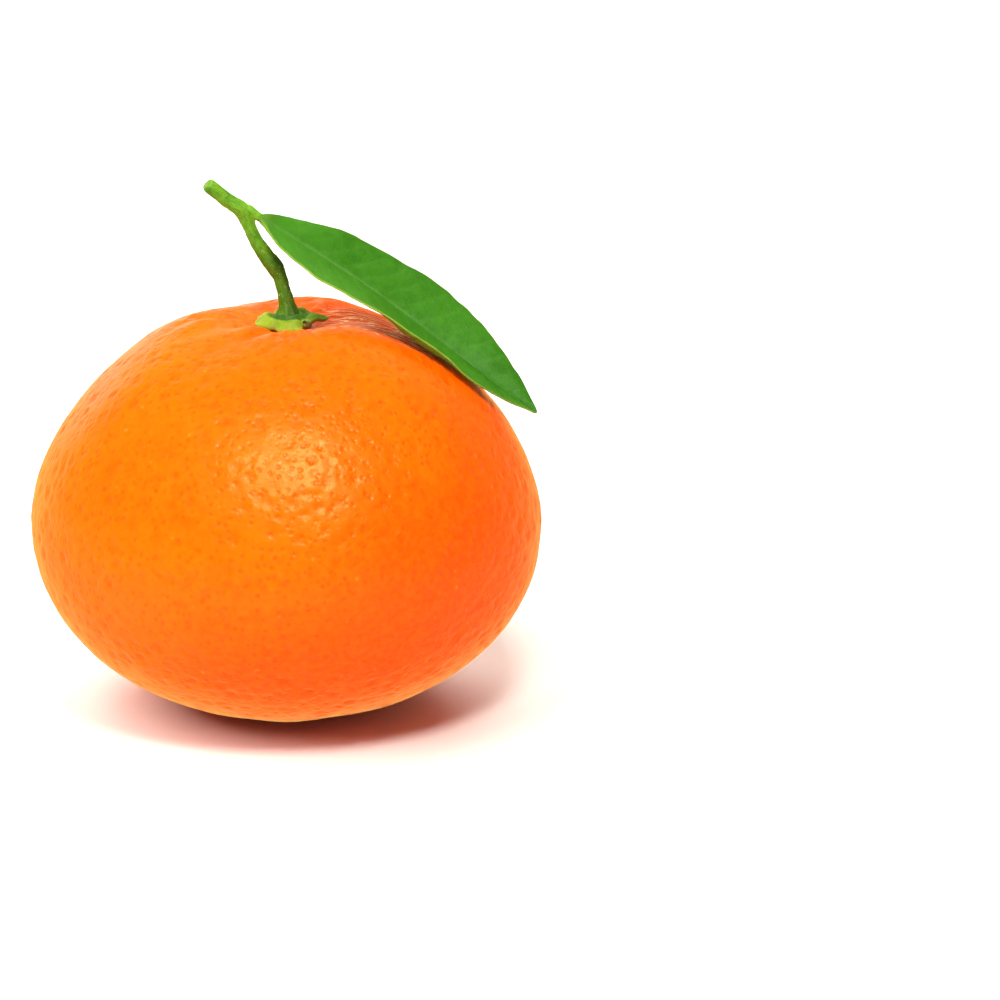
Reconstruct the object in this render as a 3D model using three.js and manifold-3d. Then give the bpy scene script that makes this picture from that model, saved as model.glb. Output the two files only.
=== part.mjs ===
// A whole mandarin in its peel, with its calyx, a piece of green stem and one leaf.
// Millimetres, +Z up. The origin is the middle of the flat spot the fruit rests on,
// +X runs towards the leaf's tip, and -Y is the side the leaf's upper face turns to.
import * as THREE from "three";
import { mergeVertices } from "three/addons/utils/BufferGeometryUtils.js";
import Module from "manifold-3d";

// ---- fruit ----
const EQUATOR_R = 34.0; // mean radius at the widest level
const CROWN_H = 29.33; // widest level up to the stem end, before the hollow
const CROWN_POWER = 1.696; // under 2: the stem end is a little drawn up
const BASE_H = 26.91; // widest level down to the blossom end, before the flat spot
const BASE_POWER = 2.135;
const FLAT_R = 8.5; // the flat spot it rests on
const HOLLOW_DEPTH = 3.7; // the dip round the calyx
const HOLLOW_W = 7.6;
const STEM_X = 0.85; // the stem end is this far off the middle
const SHOULDER_R = 13.0; // where the crown's three low swellings are highest
const FRUIT_ROUND = 60;
const FRUIT_RINGS = 36;

// ---- calyx ----
const CALYX_TOP = 53.9;
const CALYX_BODY_R = 2.9;
const SEPALS = [
  // angle in degrees, reach, width in degrees, power (higher is blunter), droop
  { at: 8, reach: 5.5, wide: 19, power: 1.5, droop: 0.3 }, // the pointed one
  { at: 66, reach: 4.6, wide: 22, power: 2.6, droop: 0.1 }, // two halves of a notched one
  { at: 112, reach: 4.3, wide: 18, power: 2.4, droop: 0.35 },
  { at: 163, reach: 4.45, wide: 20, power: 2.6, droop: 0.45 }, // the same
  { at: 201, reach: 4.75, wide: 18, power: 2.6, droop: 0.75 },
  { at: 264, reach: 4.45, wide: 16, power: 2.8, droop: 0.95 }, // the same
  { at: 288, reach: 4.75, wide: 14, power: 2.8, droop: 0.95 },
  { at: 321, reach: 3.9, wide: 10, power: 2.0, droop: 0.7 }, // a stunted one
];
const GAP = 0.3; // between pieces that touch

// ---- stem: centre line (x, y, z) and radius, from the calyx up to the cut end ----
const STEM = [
  [0.67, 0.0, 54.2, 1.5],
  [0.58, 0.0, 54.75, 1.22],
  [0.38, 0.1, 55.82, 1.0],
  [0.1, 0.3, 57.26, 0.86],
  [-0.38, 0.6, 58.84, 0.9],
  [-0.96, 0.8, 60.03, 1.14],
  [-2.0, 0.72, 61.4, 1.06],
  [-2.9, 0.5, 62.9, 0.9],
  [-3.71, 0.3, 64.42, 0.82],
  [-4.2, 0.1, 65.7, 0.84],
  [-4.62, 0.0, 67.0, 1.05],
  [-5.4, -0.3, 68.25, 1.04],
  [-7.02, -0.8, 69.43, 0.96],
  [-8.46, -1.4, 70.82, 0.91],
  [-9.6, -1.88, 71.9, 0.87],
];
// the stub on the leaf node that the leaf stalk grows from
const STUB = [
  [-5.0, -0.2, 68.0, 0.86],
  [-4.45, -0.14, 67.88, 0.84],
  [-3.8, -0.07, 67.58, 0.76],
  [-3.13, -0.02, 67.2, 0.58],
];
const STEM_ROUND = 16;
const STEM_STEPS = 40;

// ---- leaf: five rails from the leaf stalk to the tip ----
const STATIONS = [0, 0.025, 0.05, 0.1, 0.2, 0.3, 0.4, 0.5, 0.6, 0.7, 0.8, 0.87, 0.93, 0.97, 1];
const MIDRIB = [[-2.7, 0.02, 66.9], [-1.98, 0.09, 66.39], [-1.04, 0.18, 65.76], [0.84, 0.35, 64.51], [4.58, 0.67, 61.96], [8.31, 0.9, 59.37], [12, 0.9, 56.76], [15.63, 0.9, 54.04], [19.21, 0.62, 51.29], [22.76, 0.13, 48.54], [26.33, -0.5, 45.84], [28.86, -0.86, 43.97], [31.06, -1.13, 42.41], [32.55, -1.29, 41.39], [33.69, -1.4, 40.65]];
const FAR_MARGIN = [[-2.45, 0.45, 67.28], [-1.41, 0.95, 67.18], [-0.26, 2.2, 66.72], [1.96, 3.79, 65.76], [6.56, 5.71, 64.2], [10.83, 6.94, 62.06], [14.94, 7.15, 59.74], [19.02, 6.71, 57.4], [22.7, 5.81, 54.66], [25.98, 4.55, 51.65], [28.93, 2.81, 48.48], [30.77, 1.57, 46.01], [32.2, 0.33, 43.69], [33.1, -0.56, 42.02], [33.75, -1.32, 40.72]];
const NEAR_MARGIN = [[-2.92, -0.42, 66.55], [-2.22, -1.18, 66.19], [-1.51, -2.11, 65.34], [-0.03, -3.29, 63.68], [3.45, -5.01, 61.16], [7.18, -6.05, 58.98], [11.05, -6.53, 56.91], [14.84, -6.52, 54.62], [18.5, -6.38, 52.02], [22.08, -6.07, 49.21], [25.47, -5.4, 45.98], [28.13, -4.5, 43.95], [30.67, -3.36, 42.46], [32.37, -2.38, 41.42], [33.63, -1.48, 40.57]];
const FAR_BOW = [[-2.58, 0.24, 67.1], [-1.67, 0.45, 66.83], [-0.61, 1.06, 66.32], [1.46, 1.86, 65.26], [5.63, 2.97, 63.21], [9.63, 3.7, 60.85], [13.53, 3.81, 58.38], [17.39, 3.58, 55.85], [21.01, 3, 53.1], [24.43, 2.12, 50.23], [27.69, 0.94, 47.3], [29.87, 0.15, 45.12], [31.66, -0.52, 43.13], [32.84, -0.98, 41.75], [33.72, -1.37, 40.69]];
const NEAR_BELLY = [[-2.84, -0.25, 66.68], [-2.14, -0.68, 66.24], [-1.36, -1.21, 65.45], [0.25, -1.87, 63.92], [3.84, -2.77, 61.38], [7.56, -3.3, 59.04], [11.36, -3.59, 56.75], [14.68, -3.74, 53.77], [18.12, -3.82, 50.92], [21.96, -3.73, 48.47], [25.74, -3.47, 45.83], [28.35, -3.07, 43.87], [30.79, -2.48, 42.39], [32.43, -1.95, 41.38], [33.65, -1.45, 40.6]];
const BELLY_AT = -0.6; // where the belly and the bow lie across the blade, from -1 to 1
const BOW_AT = 0.5;
const BLADE_T = 0.4; // blade thickness
const STALK_T = 0.4; // added at the leaf stalk
const RIB_T = 0.35; // added under the midrib
const RIB_HALF_W = 0.7;
const LEAF_LONG = 34;
const LEAF_ACROSS = 10;

const wasm = await Module();
wasm.setup();

function solid(geometry) {
  const g = geometry.clone();
  g.deleteAttribute("normal");
  g.deleteAttribute("uv");
  const merged = mergeVertices(g, 1e-4);
  return new wasm.Manifold(
    new wasm.Mesh({
      numProp: 3,
      vertProperties: new Float32Array(merged.attributes.position.array),
      triVerts: new Uint32Array(merged.index.array),
    }),
  );
}

function geometryOf(made) {
  const mesh = made.getMesh();
  const g = new THREE.BufferGeometry();
  const points = new Float32Array(mesh.numVert * 3);
  for (let i = 0; i < mesh.numVert; i++)
    points.set(mesh.vertProperties.subarray(i * mesh.numProp, i * mesh.numProp + 3), i * 3);
  g.setAttribute("position", new THREE.BufferAttribute(points, 3));
  g.setIndex(new THREE.BufferAttribute(new Uint32Array(mesh.triVerts), 1));
  g.computeVertexNormals();
  return g;
}

// Moves every vertex of a closed geometry by shape(x, y, z, out).
function shaped(geometry, shape) {
  const position = geometry.attributes.position;
  const v = new THREE.Vector3();
  for (let i = 0; i < position.count; i++) {
    shape(position.getX(i), position.getY(i), position.getZ(i), v);
    position.setXYZ(i, v.x, v.y, v.z);
  }
  return geometry;
}

// ---- the fruit's surface ----
const LEVEL = BASE_H * Math.pow(1 - (FLAT_R / EQUATOR_R) ** 2, 1 / BASE_POWER);

// How far the outline at this turn and height is from a circle.
function roundness(turn, polar) {
  const up = Math.max(0, Math.cos(polar));
  return (
    1 +
    0.0055 * Math.cos(2 * turn) -
    0.0111 * Math.sin(2 * turn) +
    0.0055 * Math.cos(3 * turn) -
    0.0084 * Math.sin(3 * turn) +
    0.009 * Math.cos(10 * turn + 0.4) * up * Math.sin(polar)
  );
}

function fruitPoint(polar, turn, out) {
  const s = Math.sin(polar);
  const c = Math.cos(polar);
  const r = EQUATOR_R * s;
  const k = roundness(turn, polar);
  out.x = r * k * Math.cos(turn);
  out.y = r * k * Math.sin(turn);
  if (c > 0) {
    const swell = Math.exp(-(((r - SHOULDER_R) / 7) ** 2));
    const dip = Math.exp(-((out.x - STEM_X) ** 2 + out.y ** 2) / HOLLOW_W ** 2);
    out.z =
      LEVEL +
      CROWN_H * Math.pow(c, 2 / CROWN_POWER) -
      swell * (0.536 * Math.cos(3 * turn) + 0.124 * Math.sin(3 * turn)) -
      HOLLOW_DEPTH * dip;
  } else out.z = LEVEL - BASE_H * Math.pow(-c, 2 / BASE_POWER);
  return out;
}

// Height of the crown over a point near the stem end.
function crownHeight(x, y) {
  const turn = Math.atan2(y, x);
  let polar = Math.asin(Math.min(1, Math.hypot(x, y) / EQUATOR_R));
  for (let i = 0; i < 3; i++)
    polar = Math.asin(Math.min(1, Math.hypot(x, y) / roundness(turn, polar) / EQUATOR_R));
  return fruitPoint(polar, turn, new THREE.Vector3()).z;
}

function makeFruit() {
  const ball = new THREE.SphereGeometry(1, FRUIT_ROUND, FRUIT_RINGS);
  ball.rotateX(Math.PI / 2); // its poles on Z
  shaped(ball, (x, y, z, out) => {
    const even = Math.acos(THREE.MathUtils.clamp(z, -1, 1)) / Math.PI;
    // rings lie closer together at the two ends
    const polar = Math.PI * (even - 0.09 * Math.sin(2 * Math.PI * even));
    fruitPoint(polar, Math.atan2(y, x), out);
  });
  const ground = new THREE.BoxGeometry(80, 80, 20).translate(0, 0, -10);
  return geometryOf(solid(ball).subtract(solid(ground)));
}

// ---- the calyx ----
function sepalAt(turn) {
  let reach = CALYX_BODY_R;
  let droop = 0.35;
  for (const s of SEPALS) {
    let off = THREE.MathUtils.radToDeg(turn) - s.at;
    off = Math.abs(((off + 540) % 360) - 180);
    const share = Math.exp(-Math.pow(off / s.wide, s.power));
    reach = Math.max(reach, CALYX_BODY_R + (s.reach - CALYX_BODY_R) * share);
    droop += (s.droop - 0.35) * share;
  }
  return { reach, droop };
}

function makeCalyx() {
  const ball = new THREE.SphereGeometry(1, 72, 14);
  ball.rotateX(Math.PI / 2);
  return shaped(ball, (x, y, z, out) => {
    const share = Math.min(1, Math.hypot(x, y));
    const turn = Math.atan2(y, x);
    const { reach, droop } = sepalAt(turn);
    const r = share * reach;
    out.x = r * Math.cos(turn);
    out.y = r * Math.sin(turn);
    const floor = crownHeight(STEM_X + out.x, out.y) + GAP + 0.04;
    const fall = Math.pow(Math.max(0, r - 1.7) / (reach - 1.7), 1.6);
    let top = CALYX_TOP - droop * fall;
    const thick = 0.42 + 1.3 * Math.exp(-Math.pow(r / 2.6, 3));
    let bottom = Math.max(floor, top - thick);
    top = Math.max(top, bottom + 0.3);
    // the upper and lower faces meet in a rounded rim
    const middle = (top + bottom) / 2;
    const half = ((top - bottom) / 2) * Math.min(1, Math.pow(Math.abs(z), 0.35));
    out.z = middle + Math.sign(z) * half;
  });
}

// ---- the stem ----
class Line extends THREE.Curve {
  constructor(points) {
    super();
    this.through = new THREE.CatmullRomCurve3(points, false, "centripetal");
  }
  getPoint(t, out) {
    return this.through.getPointAt(THREE.MathUtils.clamp(t, 0, 1), out);
  }
}

function makeTube(rows, round, steps, flare) {
  const line = new Line(rows.map((p) => new THREE.Vector3(p[0], p[1], p[2])));
  const along = [0];
  for (let i = 1; i < rows.length; i++)
    along.push(
      along[i - 1] +
        Math.hypot(
          rows[i][0] - rows[i - 1][0],
          rows[i][1] - rows[i - 1][1],
          rows[i][2] - rows[i - 1][2],
        ),
    );
  const radius = (t) => {
    const d = t * along.at(-1);
    let i = 1;
    while (i < along.length - 1 && along[i] < d) i++;
    const k = (d - along[i - 1]) / (along[i] - along[i - 1]);
    return THREE.MathUtils.lerp(rows[i - 1][3], rows[i][3], THREE.MathUtils.smoothstep(k, 0, 1));
  };
  // a frame that is carried along the line without twist
  const frames = [];
  const side = new THREE.Vector3(0, -1, 0);
  for (let i = 0; i <= steps; i++) {
    const t = i / steps;
    const at = line.getPoint(t, new THREE.Vector3());
    const before = line.getPoint(t - 0.004, new THREE.Vector3());
    const after = line.getPoint(t + 0.004, new THREE.Vector3());
    const ahead = after.sub(before).normalize();
    if (i === 0 && flare) ahead.set(0, 0, 1);
    side.addScaledVector(ahead, -side.dot(ahead)).normalize();
    const up = new THREE.Vector3().crossVectors(ahead, side);
    frames.push({ at, side: side.clone(), up, r: radius(t) });
  }
  const tube = new THREE.CylinderGeometry(1, 1, 1, round, steps);
  return shaped(tube, (x, y, z, out) => {
    const f = frames[Math.round((y + 0.5) * steps)];
    out.copy(f.at).addScaledVector(f.side, z * f.r).addScaledVector(f.up, x * f.r);
  });
}

// ---- the leaf ----
// One rail at s, by slopes through its neighbours.
function railAt(rail, s) {
  const n = STATIONS.length;
  let i = 1;
  while (i < n - 1 && STATIONS[i] < s) i++;
  const [a, b] = [i - 1, i];
  const h = STATIONS[b] - STATIONS[a];
  const k = THREE.MathUtils.clamp((s - STATIONS[a]) / h, 0, 1);
  const slope = (j, axis) => {
    const p = Math.max(0, j - 1);
    const q = Math.min(n - 1, j + 1);
    return (rail[q][axis] - rail[p][axis]) / (STATIONS[q] - STATIONS[p]);
  };
  return [0, 1, 2].map((axis) => {
    const [p0, p1] = [rail[a][axis], rail[b][axis]];
    const [m0, m1] = [slope(a, axis) * h, slope(b, axis) * h];
    return (
      (2 * k ** 3 - 3 * k ** 2 + 1) * p0 +
      (k ** 3 - 2 * k ** 2 + k) * m0 +
      (-2 * k ** 3 + 3 * k ** 2) * p1 +
      (k ** 3 - k ** 2) * m1
    );
  });
}

// A point of the blade's middle surface: v runs from the near margin, -1, over the midrib, 0, to the far margin, 1.
function bladePoint(s, v) {
  const [edge, bow, knot] = v < 0 ? [NEAR_MARGIN, NEAR_BELLY, BELLY_AT] : [FAR_MARGIN, FAR_BOW, BOW_AT];
  const end = v < 0 ? -1 : 1;
  const p = [railAt(MIDRIB, s), railAt(bow, s), railAt(edge, s)];
  const w0 = ((v - knot) * (v - end)) / (knot * end);
  const w1 = (v * (v - end)) / (knot * (knot - end));
  const w2 = (v * (v - knot)) / (end * (end - knot));
  return new THREE.Vector3(
    ...[0, 1, 2].map((a) => w0 * p[0][a] + w1 * p[1][a] + w2 * p[2][a]),
  );
}

function bladeNormal(s, v) {
  const ds = 0.004;
  const dv = 0.05;
  const clamp = THREE.MathUtils.clamp;
  const along = bladePoint(clamp(s + ds, 0, 1), v).sub(bladePoint(clamp(s - ds, 0, 1), v));
  const across = bladePoint(s, clamp(v + dv, -1, 1)).sub(bladePoint(s, clamp(v - dv, -1, 1)));
  return new THREE.Vector3().crossVectors(along, across).normalize();
}

function makeLeaf() {
  const slab = new THREE.BoxGeometry(1, 1, 1, LEAF_LONG, LEAF_ACROSS, 1);
  return shaped(slab, (x, y, z, out) => {
    const even = x + 0.5;
    const s = even - 0.06 * Math.sin(2 * Math.PI * even); // closer steps at both ends
    const v = y * 2;
    const halfWidth = bladePoint(s, 1).distanceTo(bladePoint(s, 0));
    const stalk = STALK_T * Math.exp(-((s / 0.035) ** 2));
    const rib =
      RIB_T * (1 - 0.7 * s) * (1 - Math.exp(-((s / 0.05) ** 2))) * Math.exp(-(((v * halfWidth) / RIB_HALF_W) ** 2));
    const n = bladeNormal(s, v);
    out.copy(bladePoint(s, v)).addScaledVector(n, z > 0 ? (BLADE_T + stalk) / 2 : -(BLADE_T + stalk) / 2 - rib);
  });
}

// ---- the assembly ----
const PEEL = new THREE.MeshStandardMaterial({ color: 0xff7a05, roughness: 0.38, metalness: 0 });
const CALYX = new THREE.MeshStandardMaterial({ color: 0x8fb52b, roughness: 0.6, metalness: 0 });
const STALK = new THREE.MeshStandardMaterial({ color: 0x5f9a2a, roughness: 0.55, metalness: 0 });
const BLADE = new THREE.MeshStandardMaterial({ color: 0x3f8f22, roughness: 0.42, metalness: 0 });

function named(name, geometry, material) {
  const mesh = new THREE.Mesh(geometry, material);
  mesh.name = name;
  return mesh;
}

const mandarin = new THREE.Group();
mandarin.add(named("fruit", makeFruit(), PEEL));

const crown = new THREE.Group();
crown.position.set(STEM_X, 0, 0);
crown.add(named("calyx", makeCalyx(), CALYX));
mandarin.add(crown);

const shoot = new THREE.Group();
const foot = STEM[0];
shoot.position.set(foot[0], foot[1], foot[2]);
const stem = geometryOf(
  solid(makeTube(STEM, STEM_ROUND, STEM_STEPS, true)).add(solid(makeTube(STUB, 14, 8, false))),
);
stem.translate(-foot[0], -foot[1], -foot[2]);
shoot.add(named("stem", stem, STALK));

const leaf = named("leaf", makeLeaf(), BLADE);
leaf.geometry.translate(-MIDRIB[0][0], -MIDRIB[0][1], -MIDRIB[0][2]);
leaf.position.set(MIDRIB[0][0] - foot[0], MIDRIB[0][1] - foot[1], MIDRIB[0][2] - foot[2]);
shoot.add(leaf);
mandarin.add(shoot);

export default mandarin;
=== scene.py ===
import math

import bpy
import numpy as np
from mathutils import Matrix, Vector
from mathutils.kdtree import KDTree


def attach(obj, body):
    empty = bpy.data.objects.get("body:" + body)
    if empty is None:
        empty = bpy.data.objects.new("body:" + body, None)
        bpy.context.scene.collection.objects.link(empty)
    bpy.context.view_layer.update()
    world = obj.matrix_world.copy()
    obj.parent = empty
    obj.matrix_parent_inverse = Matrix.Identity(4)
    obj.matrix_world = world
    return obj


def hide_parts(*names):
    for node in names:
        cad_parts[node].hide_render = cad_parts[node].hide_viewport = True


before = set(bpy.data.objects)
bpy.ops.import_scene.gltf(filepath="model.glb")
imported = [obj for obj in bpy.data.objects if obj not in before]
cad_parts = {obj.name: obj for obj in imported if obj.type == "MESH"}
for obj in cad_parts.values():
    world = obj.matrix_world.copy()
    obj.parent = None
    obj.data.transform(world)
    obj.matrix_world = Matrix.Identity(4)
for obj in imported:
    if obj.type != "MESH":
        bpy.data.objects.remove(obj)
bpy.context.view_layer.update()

scene = bpy.context.scene
MM = 0.001


# ---------------------------------------------------------------- small tools
def smooth(lo, hi, x):
    t = np.clip((x - lo) / (hi - lo), 0.0, 1.0)
    return t * t * (3 - 2 * t)


def wobble(points, wavelength, seed):
    """Smooth random values in about -1..1 over space; the same seed gives the same values."""
    rng = np.random.default_rng(seed)
    perm = rng.permutation(512)
    vals = rng.uniform(-1, 1, 512)
    q = np.asarray(points, float) / wavelength + 211.7
    i = np.floor(q).astype(np.int64)
    f = q - i
    f = f * f * f * (f * (f * 6 - 15) + 10)
    out = np.zeros(len(q))
    for dx in (0, 1):
        wx = f[:, 0] if dx else 1 - f[:, 0]
        a = perm[(i[:, 0] + dx) & 511]
        for dy in (0, 1):
            wy = f[:, 1] if dy else 1 - f[:, 1]
            b = perm[(a + i[:, 1] + dy) & 511]
            for dz in (0, 1):
                wz = f[:, 2] if dz else 1 - f[:, 2]
                out += wx * wy * wz * vals[perm[(b + i[:, 2] + dz) & 511]]
    return out


def vertex_normals(co, faces):
    n = np.zeros_like(co)
    faces = np.asarray(faces)
    if faces.shape[1] == 4:
        fn = np.cross(co[faces[:, 2]] - co[faces[:, 0]], co[faces[:, 3]] - co[faces[:, 1]])
    else:
        fn = np.cross(co[faces[:, 1]] - co[faces[:, 0]], co[faces[:, 2]] - co[faces[:, 0]])
    for k in range(faces.shape[1]):
        np.add.at(n, faces[:, k], fn)
    return n / np.maximum(np.linalg.norm(n, axis=1), 1e-12)[:, None]


def make_object(name, co_mm, faces, attributes=None, material_index=None):
    me = bpy.data.meshes.new(name)
    me.from_pydata((np.asarray(co_mm) * MM).tolist(), [], [list(map(int, f)) for f in faces])
    me.validate()
    for key, values in (attributes or {}).items():
        me.attributes.new(key, "FLOAT", "POINT").data.foreach_set("value", np.asarray(values, np.float32))
    me.polygons.foreach_set("use_smooth", [True] * len(me.polygons))
    if material_index is not None:
        me.polygons.foreach_set("material_index", np.asarray(material_index, np.int32))
    me.update()
    ob = bpy.data.objects.new(name, me)
    scene.collection.objects.link(ob)
    return ob


# ---------------------------------------------------------------- the fruit's surface
EQUATOR_R, CROWN_H, CROWN_POWER = 34.0, 29.33, 1.696
BASE_H, BASE_POWER, FLAT_R = 26.91, 2.135, 8.5
HOLLOW_DEPTH, HOLLOW_W, STEM_X, SHOULDER_R = 3.7, 7.6, 0.85, 13.0
LEVEL = BASE_H * (1 - (FLAT_R / EQUATOR_R) ** 2) ** (1 / BASE_POWER)


def fruit_points(polar, turn):
    s, c = np.sin(polar), np.cos(polar)
    up = np.clip(c, 0, 1)
    r = EQUATOR_R * s
    k = (1 + 0.0055 * np.cos(2 * turn) - 0.0111 * np.sin(2 * turn) + 0.0055 * np.cos(3 * turn)
         - 0.0084 * np.sin(3 * turn) + 0.009 * np.cos(10 * turn + 0.4) * up * s)
    x, y = r * k * np.cos(turn), r * k * np.sin(turn)
    swell = np.exp(-(((r - SHOULDER_R) / 7) ** 2)) * (0.536 * np.cos(3 * turn) + 0.124 * np.sin(3 * turn))
    dip = HOLLOW_DEPTH * np.exp(-((x - STEM_X) ** 2 + y**2) / HOLLOW_W**2)
    high = LEVEL + CROWN_H * np.abs(c) ** (2 / CROWN_POWER) - swell - dip
    low = LEVEL - BASE_H * np.abs(c) ** (2 / BASE_POWER)
    return np.stack([x, y, np.where(c > 0, high, low)], -1)


def ball_grid(n):
    """An even quad grid over a ball: unit directions and quads facing out."""
    a = np.tan(np.linspace(-math.pi / 4, math.pi / 4, n + 1))
    u, v = np.meshgrid(a, a, indexing="ij")
    one = np.ones_like(u)
    sides = [(one, u, v), (-one, -u, v), (-u, one, v), (u, -one, v), (-v, u, one), (v, u, -one)]
    pts, quads = [], []
    for k, side in enumerate(sides):
        p = np.stack(side, -1).reshape(-1, 3)
        idx = np.arange((n + 1) ** 2).reshape(n + 1, n + 1) + k * (n + 1) ** 2
        q = np.stack([idx[:-1, :-1], idx[1:, :-1], idx[1:, 1:], idx[:-1, 1:]], -1).reshape(-1, 4)
        pts.append(p / np.linalg.norm(p, axis=1)[:, None])
        quads.append(q)
    pts, quads = np.vstack(pts), np.vstack(quads)
    _, first, inverse = np.unique(np.round(pts, 7), axis=0, return_index=True, return_inverse=True)
    pts, quads = pts[first], inverse.reshape(-1)[quads]
    mid = pts[quads].mean(1)
    fn = np.cross(pts[quads[:, 2]] - pts[quads[:, 0]], pts[quads[:, 3]] - pts[quads[:, 1]])
    flip = (fn * mid).sum(1) < 0
    quads[flip] = quads[flip][:, ::-1]
    return pts, quads


# Creases that run out from the calyx: bearing in degrees, where it starts and fades (mm), depth, width, bend.
CREASES = [
    (-96, 5.0, 11.0, 0.26, 0.42, 2), (-89, 6.5, 14.5, 0.20, 0.42, 2), (-80, 5.0, 14.0, 0.26, 0.48, 3),
    (-72, 5.0, 12.5, 0.28, 0.46, 4), (-63, 5.0, 11.0, 0.22, 0.50, 6), (-103, 4.5, 10.0, 0.20, 0.45, -4),
    (-111, 4.5, 12.5, 0.24, 0.55, -6), (-119, 4.5, 15.0, 0.40, 0.95, -10), (-142, 4.5, 14.0, 0.44, 0.95, -14),
    (-160, 4.5, 16.0, 0.42, 0.85, 8), (-176, 5.0, 17.0, 0.40, 0.85, 10), (166, 5.0, 15.0, 0.36, 0.80, -8),
    (148, 4.5, 13.0, 0.24, 0.80, 6), (127, 4.5, 12.0, 0.28, 0.85, -5), (108, 4.5, 14.0, 0.24, 0.80, 4),
    (88, 4.5, 12.0, 0.24, 0.80, -6), (70, 5.0, 13.0, 0.26, 0.90, 5), (50, 5.0, 12.0, 0.22, 0.80, -6),
    (-52, 4.5, 10.0, 0.22, 0.80, 6),
]


# Small dents: where, half length (mm), tilt from level, depth.
DENTS = [
    (4.9, -29.5, 37.7, 1.5, -0.12, 0.13), (8.9, -25.4, 42.5, 1.6, 0.25, 0.10),
    (-3.4, -27.2, 41.3, 1.2, 0.5, 0.09), (-19.0, -21.0, 40.5, 1.5, -0.4, 0.09), (14.0, -30.0, 26.0, 1.4, 0.7, 0.09),
    (24.0, 20.0, 33.0, 1.8, 0.3, 0.12), (-20.0, 24.0, 30.0, 1.6, -0.5, 0.11), (2.0, 31.0, 36.0, 1.5, 0.2, 0.10),
]


def peel_relief(p):
    """How far the peel stands out or in from the plain shape, and what the material needs to know."""
    x, y, z = p[:, 0], p[:, 1], p[:, 2]
    rho = np.hypot(x - STEM_X, y)
    bearing = np.degrees(np.arctan2(y, x - STEM_X))
    on_top = smooth(36, 44, z)
    d = 0.15 * wobble(p, 13.0, 3) + 0.07 * wobble(p, 6.0, 4) + 0.045 * wobble(p, 3.1, 5) + 0.020 * wobble(p, 1.7, 6)
    # creases
    for at, start, end, deep, wide, bend in CREASES:
        line = at + bend * smooth(start, end + 6, rho) + 4.0 * wobble(np.stack([rho, 0 * rho + at, 0 * rho], -1), 4.0, 31)
        off = np.abs((bearing - line + 540) % 360 - 180)
        off = np.radians(off) * rho
        along = smooth(start - 2.2, start, rho) * (1 - smooth(end * 0.45, end + 3, rho))
        w = wide * (0.7 + 0.05 * rho)
        d -= deep * on_top * along * np.exp(-((off / w) ** 2))
        d += 0.35 * deep * on_top * along * np.exp(-(((off - 2.0 * w) / (1.1 * w)) ** 2))
    # the fold at the front left of the calyx
    fold = -129 + 6 * smooth(5, 14, rho)
    off = np.radians((bearing - fold + 540) % 360 - 180) * rho
    d += 0.30 * on_top * smooth(3.5, 6, rho) * (1 - smooth(9, 17, rho)) * np.exp(-((off / 1.5) ** 2))
    # a few small dents with raised lips, as from rubbing against a twig
    for cx, cy, cz, long, tilt, deep in DENTS:
        c = np.array([cx, cy, cz])
        out = c - np.array([0, 0, 24.0])
        out /= np.linalg.norm(out)
        level = np.cross([0, 0, 1.0], out)
        level /= np.linalg.norm(level)
        rise = np.cross(out, level)
        a, b = math.cos(tilt), math.sin(tilt)
        q = p - c
        u = (q @ level) * a + (q @ rise) * b
        w = -(q @ level) * b + (q @ rise) * a
        w = w - 0.10 * u**2 / long
        body = np.exp(-((u / long) ** 4)) * (np.abs(q @ out) < 4)
        body = body * (0.8 + 0.5 * wobble(p, 1.4, 7))
        d -= deep * body * np.exp(-((w / 0.42) ** 2))
        d += 0.55 * deep * body * (np.exp(-(((w - 0.95) / 0.38) ** 2)) + np.exp(-(((w + 0.95) / 0.38) ** 2)))
    # the wrinkled trough that runs from the calyx towards +X, under the leaf
    centre = 2.0 - 0.24 * np.clip(x - 4, 0, 30)
    half = np.interp(x, [3, 7, 12, 18, 24, 30], [4.0, 6.0, 6.6, 3.6, 2.0, 1.4])
    across = (y - centre) / half
    zone = on_top * smooth(3.5, 7.5, x) * (1 - smooth(18.5, 23.5, x)) * (1 - smooth(0.40, 1.25, np.abs(across)))
    d += 0.36 * on_top * np.exp(-(((x - 22) / 5.0) ** 2) - ((y + 1.8) / 3.0) ** 2)
    # a shallow dent that keeps the peel clear of the leaf's midrib
    d -= 0.30 * on_top * np.exp(-(((x - 20.4) / 2.6) ** 2) - ((y + 2.5) / 2.0) ** 2)
    d -= 0.20 * smooth(4, 7, x) * (1 - smooth(9, 16, x)) * on_top * np.exp(-((across / 0.75) ** 2))
    warp = 0.85 * wobble(np.stack([x * 0.4, y, 0 * x], -1), 2.6, 41) + 0.30 * wobble(p, 1.7, 42)
    phase = (y - centre + warp) / np.interp(x, [4, 12, 22], [1.25, 1.45, 0.95])
    ridge = 1 - 2 * np.abs(phase - np.round(phase))
    ridge = np.clip(ridge, 0, 1) ** 1.6
    strong = 0.55 + 0.45 * wobble(p, 4.5, 43)
    d += 0.20 * zone * strong * (ridge - 0.45) * (1 - 0.5 * smooth(14, 22, x))
    # the dished blossom end, with its scar
    low = 1 - smooth(0.0, 6.0, z)
    r0 = np.hypot(x, y)
    turn = np.arctan2(y, x)
    flutes = 0.10 * np.cos(9 * turn + 0.8 + 0.6 * np.sin(3 * turn)) * smooth(5, 10, r0) * (1 - smooth(14, 24, r0)) * low
    d += flutes
    return d, zone, ridge, rho


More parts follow.
